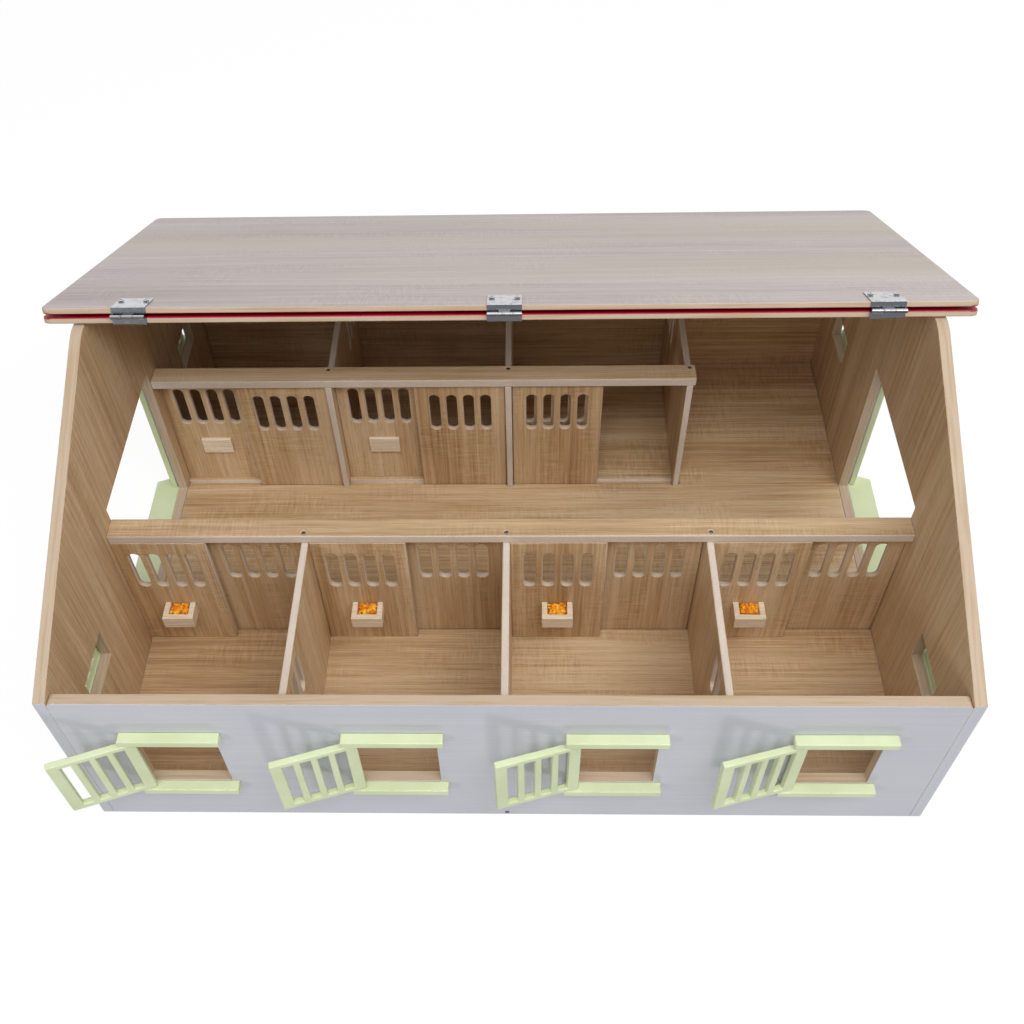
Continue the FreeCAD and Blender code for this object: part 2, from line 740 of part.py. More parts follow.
def hinge_leaf(name, x, side, gap, knuckles):
    """A strip bent over a roof board's edge, screwed to its inner face and rolled into knuckles.

    side is 1 for the leaf above the hinge line and -1 for the leaf below it.
    """
    inner = f"{gap} + roof_board"
    end = "edge_setback + hinge_leaf"
    front = "edge_setback - hinge_plate"
    tread = "knuckle_radius - hinge_plate"
    body = doc.addObject("PartDesign::Body", name)
    strip = sketch(body, "YZ_Plane")
    polygon(strip, [(y, f"{side} * ({z})") for y, z in (
        (end, inner), (end, f"{inner} + hinge_plate"), (front, f"{inner} + hinge_plate"),
        (front, "knuckle_radius"), ("0", "knuckle_radius"), ("0", tread), ("edge_setback", tread),
        ("edge_setback", inner),
    )])
    bent = pad(body, strip, "hinge_width", midplane=True)
    corner, rim = measure(end) - measure("pin_fit"), measure("hinge_plate") + measure("pin_fit")
    rounded = round_edges(body, bent, "hinge_corner",
                          lambda edge: min(v.Y for v in edge.Vertexes) > corner and edge.Length < rim)
    fold_y, fold_z = measure(front), measure(f"{side} * ({inner} + hinge_plate)")
    play = measure("pin_fit")
    round_edges(body, rounded, "hinge_bend", lambda edge: all(
        math.hypot(v.Y - fold_y, v.Z - fold_z) < play for v in edge.Vertexes))
    notches = sketch(body, "XY_Plane")
    for number in {0, 1, 2} - set(knuckles):
        rectangle(notches, f"{number} * knuckle_pitch - hinge_width / 2 - knuckle_gap / 2", "-cut_overrun",
                  "knuckle_pitch + knuckle_gap", f"{front} + cut_overrun")
    pocket(body, notches)
    for number in knuckles:
        ring = sketch(body, "YZ_Plane", f"{number} * knuckle_pitch - hinge_width / 2 + knuckle_gap / 2")
        circle(ring, "0", "0", "knuckle_radius")
        pad(body, ring, "knuckle_length")
    bore = sketch(body, "YZ_Plane")
    circle(bore, "0", "0", "hinge_pin_radius + running_fit" if side > 0 else "hinge_pin_radius + pin_fit")
    pocket(body, bore)
    holes = sketch(body, "XY_Plane")
    for hand in (-1, 1):
        circle(holes, f"{hand} * hinge_screw_pitch / 2", "edge_setback + hinge_screw_row",
               "screw_shank + screw_play")
    pocket(body, holes)
    return roof_place(body, x)


def hinge_screws(name, x, side, gap):
    """Two pan-head screws through a leaf into its roof board."""
    face = f"({gap} + roof_board + hinge_plate)"
    turn = "-roof_slope" if side > 0 else "180 - roof_slope"
    y, z = roof_point("edge_setback + hinge_screw_row", f"{side} * {face}")
    screws = []
    for hand in (-1, 1):
        head = cylinder(f"{name}_head_{hand + 1}", "hinge_screw_head", "hinge_screw_rise")
        shank = cylinder(f"{name}_shank_{hand + 1}", "screw_shank", "hinge_plate + hinge_screw_bite",
                         z="-hinge_plate - hinge_screw_bite")
        screw = fuse(f"{name}_screw_{hand + 1}", [head, shank])
        screws.append(place(screw, f"{x} + {hand} * hinge_screw_pitch / 2", y, z, ACROSS, turn))
    return screws


def roof():
    roof_panel("roof_rear_panel", "-rear_gap - roof_board")
    roof_panel("roof_front_panel", "front_gap")
    fixed, moving, hinge_pins, fixed_screws, moving_screws = [], [], [], [], []
    for name, x in HINGES.items():
        fixed.append(hinge_leaf(f"{name}_fixed_leaf", x, -1, "rear_gap", (0, 2)))
        moving.append(hinge_leaf(f"{name}_moving_leaf", x, 1, "front_gap", (1,)))
        hinge_pins.append(cylinder(f"{name}_hinge_pin", "hinge_pin_radius", "hinge_width",
                                   f"{x} - hinge_width / 2", "0", "pivot_height",
                                   FreeCAD.Vector(0, 1, 0), "90"))
        fixed_screws += hinge_screws(f"{name}_fixed", x, -1, "rear_gap")
        moving_screws += hinge_screws(f"{name}_moving", x, 1, "front_gap")
    group("hinge_fixed_leaves", fixed)
    group("hinge_moving_leaves", moving)
    group("hinge_pins", hinge_pins)
    group("hinge_fixed_screws", fixed_screws)
    group("hinge_moving_screws", moving_screws)


# Wood screws
def wood_screw(name, x, y, z, axis=UP, angle="0"):
    head = cylinder(f"{name}_head", "wood_screw_head", "wood_screw_rise")
    shank = cylinder(f"{name}_shank", "screw_shank", "wood_screw_bite", z="-wood_screw_bite")
    return place(fuse(name, [head, shank]), x, y, z, axis, angle)


def wood_screws():
    beam_screws, wall_screws = [], []
    for row in (FRONT, REAR):
        for number in (-1, 0, 1):
            beam_screws.append(wood_screw(
                f"{ROW_NAMES[row]}_beam_screw_{number + 2}", f"{number} * stall_pitch",
                f"{row} * (stall_face - wood_screw_edge)", "beam_underside + beam_height - wood_screw_seat"))
        wall_screws.append(wood_screw(f"{ROW_NAMES[row]}_wall_screw", "0", f"{row} * half_depth",
                                      "board / 2", ACROSS, f"{-90 * row}"))
    group("beam_screws", beam_screws)
    group("wall_screws", wall_screws)


def write_parts():
    """Check every object and write each sub-part to its own file."""
    doc.recompute()
    failed = [item.Name for item in doc.Objects if {"Invalid", "Error"} & set(item.State)]
    if failed:
        raise RuntimeError(f"failed objects: {failed}")
    for node in nodes:
        if node.Shape.isNull() or not node.Shape.isValid():
            raise RuntimeError(f"bad shape: {node.Label}")
    os.makedirs("parts", exist_ok=True)
    for node in nodes:
        node.Shape.exportStep(f"parts/{node.Label}.step")
    print(f"{len(nodes)} sub-parts, {sum(len(node.Shape.Solids) for node in nodes)} solids")


floor_board()
for side_row in (FRONT, REAR):
    long_wall(side_row)
    beam(side_row)
    for wall_number in (1, 2, 3):
        partition(side_row, wall_number)
    for stall in range(1, STALL_COUNTS[side_row] + 1):
        stall_panel(side_row, stall)
        sliding_door(side_row, stall)
for side_end in (LEFT, RIGHT):
    end_wall(side_end)
troughs()
front_window_bars()
side_window_bars()
front_shutters()
side_shutters()
doorway_bars()
end_doors()
pins()
roof()
wood_screws()
write_parts()
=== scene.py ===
"""Toy horse stable: finishes, screw heads, feed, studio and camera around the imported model.

Everything is in metres in the model's own frame: +X along the building, -Y the front with
the windows, +Z up, the ridge over y = 0.
"""
import json
import math
import random

import bpy
from mathutils import Color, Matrix, Vector


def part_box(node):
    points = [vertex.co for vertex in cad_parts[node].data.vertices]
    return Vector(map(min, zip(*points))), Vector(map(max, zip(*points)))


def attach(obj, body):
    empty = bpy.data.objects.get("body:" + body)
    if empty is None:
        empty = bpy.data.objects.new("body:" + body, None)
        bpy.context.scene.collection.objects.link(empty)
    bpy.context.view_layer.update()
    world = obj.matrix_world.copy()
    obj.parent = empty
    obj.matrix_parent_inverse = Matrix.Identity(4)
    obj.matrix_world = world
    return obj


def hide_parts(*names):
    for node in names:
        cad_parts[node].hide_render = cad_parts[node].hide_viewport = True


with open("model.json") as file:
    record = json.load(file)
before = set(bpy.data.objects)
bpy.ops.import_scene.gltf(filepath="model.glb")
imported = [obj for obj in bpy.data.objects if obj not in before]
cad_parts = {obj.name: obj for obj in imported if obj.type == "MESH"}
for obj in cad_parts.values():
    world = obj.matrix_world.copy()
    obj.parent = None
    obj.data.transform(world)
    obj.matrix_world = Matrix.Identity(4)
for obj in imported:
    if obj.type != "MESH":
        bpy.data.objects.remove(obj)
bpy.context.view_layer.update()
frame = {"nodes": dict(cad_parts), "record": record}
nodes = frame["nodes"]
behaviour = frame["record"]["behaviour"]
body_of_node = {node: body for body, members in behaviour["bodies"].items() for node in members}

# Sizes and directions taken from the frame
MM = 0.001
END_MARGIN = 0.2 * MM
roof_fold = next(joint for joint in behaviour["joints"] if joint["name"] == "roof_fold")
ROOF_SLOPE = math.radians((roof_fold["range_deg"][1] - 180) / 2)
SLOPE_NORMAL = Vector((0, math.sin(ROOF_SLOPE), math.cos(ROOF_SLOPE)))
WALL_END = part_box("left_end_wall")[1].y - END_MARGIN
FEED_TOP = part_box("trough_feed")[1].z


def linear(red, green, blue):
    """A colour given as it looks on screen, 0 to 255, as the linear values that shaders take."""
    screen = Color((red / 255, green / 255, blue / 255))
    return (*screen.from_srgb_to_scene_linear(), 1.0)


# Colours
OAK_TONES = (linear(150, 115, 78), linear(190, 156, 115), linear(211, 183, 146), linear(224, 202, 170))
ROOF_TONES = (linear(160, 143, 141), linear(187, 174, 172), linear(203, 191, 188), linear(214, 204, 200))
ROOF_BEIGE = linear(203, 191, 172)
EDGE_DARK = linear(205, 189, 172)
EDGE_LIGHT = linear(222, 209, 196)
EDGE_WARM = linear(183, 156, 124)
PAINT_WHITE = linear(208, 209, 217)
PAINT_WHITE_THIN = linear(198, 200, 209)
PAINT_GREEN = linear(222, 232, 191)
PAINT_GREEN_THIN = linear(212, 223, 178)
PAINT_RED = linear(176, 16, 44)
PAINT_RED_THIN = linear(150, 12, 36)
BEECH_TONES = (linear(218, 196, 164), linear(234, 217, 192), linear(243, 231, 212))
BEECH_FLECK = linear(190, 158, 120)
FEED_TONES = (linear(214, 112, 10), linear(244, 156, 18), linear(252, 190, 40), linear(255, 216, 96))
FEED_SHADE = linear(120, 52, 6)
# Steel: the second colour of each serves the duller spots and the painted dark reflection on bends and rims
ZINC_BRIGHT = (0.62, 0.62, 0.64, 1.0)
ZINC_SPOT_AND_PAINTED_DARK = (0.13, 0.135, 0.15, 1.0)
IRON_BRIGHT = (0.32, 0.3, 0.28, 1.0)
IRON_SPOT_AND_PAINTED_DARK = (0.12, 0.11, 0.1, 1.0)
STUDIO_WHITE = (1.0, 1.0, 1.0, 1.0)
PAPER_SEEN = (0.87, 0.87, 0.87, 1.0)
PAPER_BOUNCE = (0.3, 0.3, 0.3, 1.0)


# Shader expressions
class Wire:
    """A node's output that can be used in expressions; each operator adds its Math node."""

    def __init__(self, shading, socket):
        self.shading = shading
        self.socket = socket

    def maths(self, operation, *others):
        values = dict(enumerate((self, *others)))
        return self.shading.node("ShaderNodeMath", {"operation": operation}, values)

    def __add__(self, other):
        return self.maths("ADD", other)

    __radd__ = __add__

    def __mul__(self, other):
        return self.maths("MULTIPLY", other)

    __rmul__ = __mul__

    def __sub__(self, other):
        return self.maths("SUBTRACT", other)

    def __rsub__(self, other):
        return self.shading.node("ShaderNodeMath", {"operation": "SUBTRACT"}, {0: other, 1: self})

    def __abs__(self):
        return self.maths("ABSOLUTE")

    def __gt__(self, other):
        return self.maths("GREATER_THAN", other)

    def most(self, other):
        return self.maths("MAXIMUM", other)

    def spread(self, low, high):
        """low where the value is 0, high where it is 1."""
        return self * (high - low) + low

    def between(self, low, high):
        """0 below low, 1 above high, smooth between them."""
        limits = {"From Min": low, "From Max": high, "To Min": 0.0, "To Max": 1.0}
        return self.shading.node("ShaderNodeMapRange", {"interpolation_type": "SMOOTHSTEP"},
                                 {"Value": self, **limits})


class Shading:
    """A node tree under construction."""

    def __init__(self, tree):
        self.tree = tree
        tree.nodes.clear()

    def node(self, kind, settings=None, sockets=None, out=0):
        """Add a node: its settings first, then the values or links of its sockets."""
        made = self.tree.nodes.new(kind)
        for key, value in (settings or {}).items():
            if key == "stops":
                self.set_stops(made.color_ramp, value)
            else:
                setattr(made, key, value)
        for key, value in (sockets or {}).items():
            if isinstance(value, Wire):
                self.tree.links.new(value.socket, made.inputs[key])
            else:
                made.inputs[key].default_value = value
        return Wire(self, made.outputs[out]) if made.outputs else made

    @staticmethod
    def set_stops(ramp, stops):
        while len(ramp.elements) < len(stops):
            ramp.elements.new(1.0)
        for element, (position, colour) in zip(ramp.elements, stops):
            element.position = position
            element.color = colour

    def parts(self, vector):
        """The three values of a vector."""
        split = self.node("ShaderNodeSeparateXYZ", None, {0: vector})
        return [Wire(self, output) for output in split.socket.node.outputs]

    def blend(self, share, first, second):
        """A colour that goes from first to second as share goes from 0 to 1."""
        return self.node("ShaderNodeMix", {"data_type": "RGBA"}, {0: share, 6: first, 7: second}, out=2)

    def seen(self):
        """1 for the camera's own rays, else 0."""
        return self.node("ShaderNodeLightPath", out="Is Camera Ray")

    def seen_or_mirrored(self):
        """1 for the camera's own rays and for those that metal or glass sends on, else 0."""
        mirrored = self.node("ShaderNodeLightPath", out="Is Glossy Ray")
        through = self.node("ShaderNodeLightPath", out="Is Transmission Ray")
        return self.seen().most(mirrored).most(through)


class Finish(Shading):
    """A material under construction, with the coordinates and normal of the piece that wears it."""

    def __init__(self, name):
        self.material = bpy.data.materials.new(name)
        self.material.use_nodes = True
        super().__init__(self.material.node_tree)
        self.place = self.node("ShaderNodeTexCoord", out="Object")
        self.normal = self.node("ShaderNodeTexCoord", out="Normal")
        self.along = dict(zip("XYZ", self.parts(self.place)))
        self.facing = dict(zip("XYZ", self.parts(self.normal)))

    def stretch(self, scales, shift=(0.0, 0.0, 0.0)):
        """The piece's own coordinates, scaled per axis and shifted."""
        scaled = self.node("ShaderNodeVectorMath", {"operation": "MULTIPLY"}, {0: self.place, 1: scales})
        return self.node("ShaderNodeVectorMath", {"operation": "ADD"}, {0: scaled, 1: shift})

    def noise(self, vector, scale=1.0, detail=3.0, roughness=0.5, distortion=0.0):
        sockets = {"Scale": scale, "Detail": detail, "Roughness": roughness, "Distortion": distortion}
        return self.node("ShaderNodeTexNoise", None, {"Vector": vector, **sockets})

    def ramp(self, value, positions, colours):
        return self.node("ShaderNodeValToRGB", {"stops": list(zip(positions, colours))}, {0: value})

    def toward(self, vector):
        """How far the surface faces along a direction, from -1 to 1."""
        return self.node("ShaderNodeVectorMath", {"operation": "DOT_PRODUCT"},
                         {0: self.normal, 1: tuple(vector)}, out="Value")

    def close(self, colour, roughness, height, depth, **fixed):
        """Finish with a Principled shader; height is in shares of depth, given in metres."""
        bump = self.node("ShaderNodeBump", None, {"Height": height, "Distance": depth, "Strength": 1.0})
        sockets = {"Base Color": colour, "Roughness": roughness, "Normal": bump, **fixed}
        shader = self.node("ShaderNodeBsdfPrincipled", None, sockets)
        self.node("ShaderNodeOutputMaterial", None, {"Surface": shader})
        return self.material


# Oak print: features per metre along and across the grain, and their shares in the tone
BANDS = (1.3, 17.0)
STREAKS = (5.0, 210.0)
FIBRES = (10.0, 900.0)
PORES = (60.0, 1000.0)
PATCHES = (11.0, 30.0)
RIPPLES = (560.0, 64.0)
PORE_LIMITS = (0.58, 0.7)
PATCH_LIMITS = (0.42, 0.62)
BAND_SHARE = 0.42
STREAK_SHARE = 0.32
STREAK_GAIN = 0.04
FIBRE_SHARE = 0.22
RIPPLE_SHARE = 0.2
PORE_SHARE = 0.32
PORE_DEPTH = 0.8
STREAK_DEPTH = 0.25
NOISE_MIDDLE = 0.5
OAK_STOPS = (0.35, 0.46, 0.55, 0.66)

# Strength of the print's lines on each kind of board
PLAIN_GRAIN = 1.0
PANEL_GRAIN = 1.2
WALL_GRAIN = 2.0
BEAM_GRAIN = 2.0
FLOOR_GRAIN = 1.8

# Print of the roof: its place in the pattern and its beige bands
ROOF_PRINT_ASIDE = 3.1
ROOF_PRINT_DEEP = 1.7
BEIGE_BANDS = (1.1, 13.0)
BEIGE_PLACE = (0.4, 2.0, 0.9)
BEIGE_LIMITS = (0.42, 0.62)
BEIGE_SHARE = 0.55

# Bare edges: layers across the thickness, fuzz, and the warmth of each kind of board
LAYERS = (420.0, 14.0)
LAYER_LIMITS = (0.46, 0.66)
LAYER_WARMTH = (0.85, 1.25)
FUZZ_SHARE = 0.6
FUZZ_LIMITS = (0.25, 0.75)
ROOF_EDGE_WARMTH = 0.7
END_EDGE_WARMTH = 0.7
WALL_EDGE_WARMTH = 0.8
PANEL_EDGE_WARMTH = 0.38
FLAT_EDGE_WARMTH = 0.1

# Paint: brush lines along and across the grain, and their share beside the clouds
BRUSH_LINES = (5.0, 420.0)
BRUSH_LIMITS = (0.3, 0.75)
BRUSH_SHARE = 0.6
CLOUD_LIMITS = (0.3, 0.7)

# How far the print is painted paler: painted sheen on the beams and floor, painted light on the end walls
END_PAINTED_LIGHT = 0.16
BEAM_PAINTED_SHEEN = 0.2
FLOOR_PAINTED_SHEEN = 0.04

# Roughness and relief of the boards
BARE_ROUGHNESS = 0.78
PRINT_GLOSS = 0.34
WALL_PAINT_GLOSS = 0.4
ROOF_PRINT_GLOSS = 0.36
ROOF_PAINT_GLOSS = 0.42
BOARD_RELIEF = 0.06 * MM

# How squarely a surface has to face along a direction to wear a finish, from none to all of it
SQUARE_FACE = (0.75, 0.94)
BROAD_FACE = (0.55, 0.8)
PAINT_RIM = (0.08, 0.2)


def run(axis, along, across):
    """Scales of a pattern along one axis and across it."""
    scales = [across] * 3
    scales["XYZ".index(axis)] = along
    return tuple(scales)


def oak(finish, grain, shift=(0.0, 0.0, 0.0), tones=OAK_TONES, strength=PLAIN_GRAIN):
    """An oak print with its grain along one axis: its colour and the height of its pores."""
    def pattern(feature, **settings):
        return finish.noise(finish.stretch(run(grain, *feature), shift), **settings)
    bands = pattern(BANDS, detail=2.0, distortion=0.4)
    streaks = pattern(STREAKS, detail=5.0, roughness=0.68)
    fibres = pattern(FIBRES, detail=3.0, roughness=0.75)
    pores = pattern(PORES, detail=1.0).between(*PORE_LIMITS)
    patches = pattern(PATCHES, detail=1.0).between(*PATCH_LIMITS)
    ripples = (pattern(RIPPLES, detail=2.0, roughness=0.6) - NOISE_MIDDLE) * patches
    lines = (streaks - NOISE_MIDDLE) * (STREAK_SHARE + STREAK_GAIN * strength)
    lines = lines + (fibres - NOISE_MIDDLE) * (FIBRE_SHARE * strength)
    tone = bands * BAND_SHARE + NOISE_MIDDLE * (1 - BAND_SHARE) + lines + ripples * RIPPLE_SHARE
    colour = finish.ramp(tone, OAK_STOPS, tones)
    colour = finish.blend(pores * PORE_SHARE, colour, tones[0])
    return colour, 1 - pores * PORE_DEPTH - streaks * STREAK_DEPTH


def oak_with_painted_light(finish, grain, painted_paling, strength):
    """An oak print made paler by a share: painted sheen or painted light."""
    colour, height = oak(finish, grain, strength=strength)
    return finish.blend(painted_paling, colour, OAK_TONES[-1]), height


def bare_edge(finish, warm, thickness):
    """The sawn edge of a board: pale, slightly fuzzy fibres with darker layers across its thickness."""
    fuzz = finish.noise(finish.place, scale=900.0, detail=3.0, roughness=0.65)
    cloud = finish.noise(finish.place, scale=38.0, detail=2.0)
    tone = fuzz * FUZZ_SHARE + cloud * (1 - FUZZ_SHARE)
    pale = finish.blend(tone.between(*FUZZ_LIMITS), EDGE_DARK, EDGE_LIGHT)
    layers = finish.noise(finish.stretch(run(thickness, *LAYERS)), detail=2.0).between(*LAYER_LIMITS)
    return finish.blend(layers.spread(*LAYER_WARMTH) * warm, pale, EDGE_WARM), fuzz


def brushed_paint(finish, grain, base, deep):
    """Thin satin paint with the faint run of the wood under it."""
    lines = finish.noise(finish.stretch(run(grain, *BRUSH_LINES)), detail=3.0, roughness=0.6)
    cloud = finish.noise(finish.place, scale=14.0, detail=2.0)
    share = lines.between(*BRUSH_LIMITS) * BRUSH_SHARE + cloud.between(*CLOUD_LIMITS) * (1 - BRUSH_SHARE)
    return finish.blend(share, deep, base), lines


def painted_board(finish, printed, edge, paint, out, painted, print_gloss, paint_gloss):
    """A board with a print inside, bare edges and paint outside, each given as a colour and a height."""
    inside = (0 - out).between(*BROAD_FACE)
    colour = finish.blend(inside, edge[0], printed[0])
    colour = finish.blend(painted, colour, paint[0])
    height = edge[1] * (1 - inside) * (1 - painted) + printed[1] * inside + paint[1] * painted
    roughness = BARE_ROUGHNESS - inside * print_gloss - painted * paint_gloss
    return finish.close(colour, roughness, height, BOARD_RELIEF)


def oak_board(name, grain, thickness, warm=0.0, painted_paling=0.0, strength=PANEL_GRAIN):
    """A board printed with oak on both faces and bare on its edges."""
    finish = Finish(name)
    # A share above 0 makes the print paler: painted sheen or painted light
    print_colour, print_height = oak_with_painted_light(finish, grain, painted_paling, strength)
    edge_colour, edge_height = bare_edge(finish, warm, thickness)
    facing = abs(finish.facing[thickness]).between(*SQUARE_FACE)
    colour = finish.blend(facing, edge_colour, print_colour)
    height = print_height * facing + edge_height * (1 - facing)
    return finish.close(colour, BARE_ROUGHNESS - facing * PRINT_GLOSS, height, BOARD_RELIEF)


def wall_board(name, grain, outward, warm, painted_paling=0.0, painted_ends=False):
    """A wall board: white paint outside, oak print inside, bare edges."""
    finish = Finish(name)
    # A share above 0 makes the print paler, painted light
    printed = oak_with_painted_light(finish, grain, painted_paling, WALL_GRAIN)
    edge = bare_edge(finish, warm, "X" if outward[0] else "Y")
    paint = brushed_paint(finish, grain, PAINT_WHITE, PAINT_WHITE_THIN)
    out = finish.toward(outward)
    painted = out.between(*BROAD_FACE)
    if painted_ends:
        ends = abs(finish.along["Y"]) > WALL_END
        painted = painted.most(ends * abs(finish.facing["Y"]).between(*BROAD_FACE))
    return painted_board(finish, printed, edge, paint, out, painted, PRINT_GLOSS, WALL_PAINT_GLOSS)


def roof_board(name, painted_side):
    """A roof board: red paint outside, oak print inside, bare edges with the paint's rim."""
    finish = Finish(name)
    colour, height = oak(finish, "X", (0.0, ROOF_PRINT_ASIDE * painted_side, ROOF_PRINT_DEEP), ROOF_TONES)
    beige = finish.noise(finish.stretch(run("X", *BEIGE_BANDS), BEIGE_PLACE), detail=1.0)
    printed = finish.blend(beige.between(*BEIGE_LIMITS) * BEIGE_SHARE, colour, ROOF_BEIGE), height
    edge = bare_edge(finish, ROOF_EDGE_WARMTH, "Z")
    paint = brushed_paint(finish, "X", PAINT_RED, PAINT_RED_THIN)
    out = finish.toward(SLOPE_NORMAL * painted_side)
    painted = out.between(*PAINT_RIM)
    return painted_board(finish, printed, edge, paint, out, painted, ROOF_PRINT_GLOSS, ROOF_PAINT_GLOSS)


# Green paint, beech, steel and feed: patterns along and across X, roughness and relief
GREEN_ROUGHNESS = (0.34, 0.46)
GREEN_RELIEF = 0.04 * MM
BEECH_STREAKS = (30.0, 700.0)
BEECH_STOPS = (0.3, 0.55, 0.75)
BEECH_FLECKS = (260.0, 1500.0)
FLECK_LIMITS = (0.6, 0.72)
FLECK_SHARE = 0.35
BEECH_ROUGHNESS = (0.62, 0.72)
BEECH_RELIEF = 0.05 * MM
DRAWN_LINES = (60.0, 2600.0)
SPOT_LIMITS = (0.5, 0.72)
SPOT_SHARE = 0.5
PAINTED_DARK_BEND_LIMITS = (0.2, 0.9)
STEEL_ROUGHNESS = (0.16, 0.26)
SPOT_ROUGHNESS = 0.12
STEEL_RELIEF = 0.008 * MM
FEED_STOPS = (0.3, 0.48, 0.62, 0.75)
FEED_SHADE_DEPTH = 1.6 * MM
FEED_CREST = 0.1 * MM
FEED_ROUGHNESS = (0.55, 0.75)
FEED_RELIEF = 0.05 * MM


def green_paint(name):
    """Pale green satin paint over smooth wood, thinner in soft patches."""
    finish = Finish(name)
    cloud = finish.noise(finish.place, scale=30.0, detail=3.0)
    peel = finish.noise(finish.place, scale=700.0, detail=2.0)
    colour = finish.blend(cloud.between(*CLOUD_LIMITS), PAINT_GREEN_THIN, PAINT_GREEN)
    return finish.close(colour, peel.spread(*GREEN_ROUGHNESS), peel, GREEN_RELIEF)


def beech(name):
    """Bare pale wood with short flecks along X."""
    finish = Finish(name)
    streaks = finish.noise(finish.stretch(run("X", *BEECH_STREAKS)), detail=3.0, roughness=0.6)
    flecks = finish.noise(finish.stretch(run("X", *BEECH_FLECKS)), detail=1.0).between(*FLECK_LIMITS)
    colour = finish.ramp(streaks, BEECH_STOPS, BEECH_TONES)
    colour = finish.blend(flecks * FLECK_SHARE, colour, BEECH_FLECK)
    return finish.close(colour, streaks.spread(*BEECH_ROUGHNESS), streaks, BEECH_RELIEF)


def steel(name, bright, spot_and_painted_dark):
    """Plated steel with fine drawing lines and duller spots; its bends and rims are painted darker, a
    painted dark reflection.
    """
    finish = Finish(name)
    drawn = finish.noise(finish.stretch(run("X", *DRAWN_LINES)), detail=2.0)
    spots = finish.noise(finish.place, scale=240.0, detail=3.0).between(*SPOT_LIMITS)
    # Faces that turn away from the slope, the bends and rims, take the darker colour: painted dark
    # reflection
    flat = abs(finish.toward(SLOPE_NORMAL)).between(*PAINTED_DARK_BEND_LIMITS)
    colour = finish.blend(flat * (1 - spots * SPOT_SHARE), spot_and_painted_dark, bright)
    roughness = drawn.spread(*STEEL_ROUGHNESS) + spots * SPOT_ROUGHNESS
    return finish.close(colour, roughness, drawn, STEEL_RELIEF, Metallic=1.0)


def grain_feed(name):
    """Orange feed: each grain a little lighter or darker than the next, darker down in the trough."""
    finish = Finish(name)
    cells = finish.noise(finish.place, scale=330.0, detail=1.0, roughness=0.4)
    skin = finish.noise(finish.place, scale=2400.0, detail=2.0)
    grains = finish.ramp(cells, FEED_STOPS, FEED_TONES)
    lit = finish.along["Z"].between(FEED_TOP - FEED_SHADE_DEPTH, FEED_TOP + FEED_CREST)
    colour = finish.blend(lit, FEED_SHADE, grains)
    return finish.close(colour, skin.spread(*FEED_ROUGHNESS), skin, FEED_RELIEF)


# Modelling helpers
SQUARE_ON = 0.9


def select_only(pieces):
    bpy.ops.object.select_all(action="DESELECT")
    for piece in pieces:
        piece.select_set(True)
    bpy.context.view_layer.objects.active = pieces[0]


def dress(piece, material):
    piece.data.materials.clear()
    piece.data.materials.append(material)


def apply_modifier(piece, kind, **settings):
    select_only([piece])
    modifier = piece.modifiers.new(kind.lower(), kind)
    for key, value in settings.items():
        setattr(modifier, key, value)
    bpy.ops.object.modifier_apply(modifier=modifier.name)


def settle(pieces):
    """Put the places of pieces into their meshes, so that their objects sit at the origin."""
    select_only(pieces)
    bpy.ops.object.transform_apply(location=True, rotation=True, scale=True)


def join(pieces, name):
    select_only(pieces)
    bpy.ops.object.join()
    pieces[0].name = name
    return pieces[0]


def duplicate(piece, name):
    """A copy with a mesh of its own."""
    twin = piece.copy()
    twin.data = piece.data.copy()
    twin.name = name
    bpy.context.scene.collection.objects.link(twin)
    return twin


def new_cube(**place):
    """A cube of size 1, selected alone."""
    bpy.ops.object.select_all(action="DESELECT")
    bpy.ops.mesh.primitive_cube_add(size=1, **place)
    return bpy.context.active_object


def pick_faces(piece, axis):
    """Enter edit mode with only the faces selected that look along an axis."""
    bpy.ops.object.mode_set(mode="EDIT")
    bpy.ops.mesh.select_all(action="DESELECT")
    bpy.ops.object.mode_set(mode="OBJECT")
    for polygon in piece.data.polygons:
        polygon.select = polygon.normal["XYZ".index(axis)] > SQUARE_ON
    bpy.ops.object.mode_set(mode="EDIT")
    bpy.ops.mesh.select_mode(type="FACE")


def smooth_under(piece, angle):
    """Shade a piece smooth, apart from edges sharper than an angle."""
    select_only([piece])
    bpy.ops.object.shade_smooth_by_angle(angle=angle)


def stand_for(piece, node, body):
    """Let a piece ride on a body in place of a node."""
    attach(piece, body)
    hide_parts(node)


# Easing of the boards
WELD = 0.002 * MM
COPLANAR = math.radians(0.5)
SHARP_EDGE = math.radians(50)
BOARD_CREASE = math.radians(60)
NARROW_FACE = 1.2 * MM
EASING_STEPS = 2
EASING = {
    "green_board": 0.8 * MM,
    "beech": 0.6 * MM,
    "oak_board": 1.0 * MM,
    "wall_board": 0.5 * MM,
    "roof_board": 0.9 * MM,
}


def outline_length(mesh, polygon):
    corners = [mesh.vertices[index].co for index in polygon.vertices]
    return sum((end - start).length for start, end in zip(corners, corners[1:] + corners[:1]))


def eased(node, material, slot):
    """The board of a node with its edges eased, in place of the sharp one; broad faces stay flat."""
    piece = duplicate(nodes[node], f"{node}_eased")
    piece.parent = None
    for key in [key for key in piece.keys() if key.startswith("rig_")]:
        del piece[key]
    select_only([piece])
    bpy.ops.object.mode_set(mode="EDIT")
    bpy.ops.mesh.select_all(action="SELECT")
    bpy.ops.mesh.remove_doubles(threshold=WELD)
    bpy.ops.mesh.dissolve_limited(angle_limit=COPLANAR)
    bpy.ops.object.mode_set(mode="OBJECT")
    apply_modifier(piece, "BEVEL", width=EASING[slot], segments=EASING_STEPS, limit_method="ANGLE",
                   angle_limit=SHARP_EDGE, use_clamp_overlap=False, loop_slide=False)
    smooth_under(piece, BOARD_CREASE)
    for polygon in piece.data.polygons:
        polygon.use_smooth = 2 * polygon.area < NARROW_FACE * outline_length(piece.data, polygon)
    dress(piece, material)
    stand_for(piece, node, body_of_node[node])


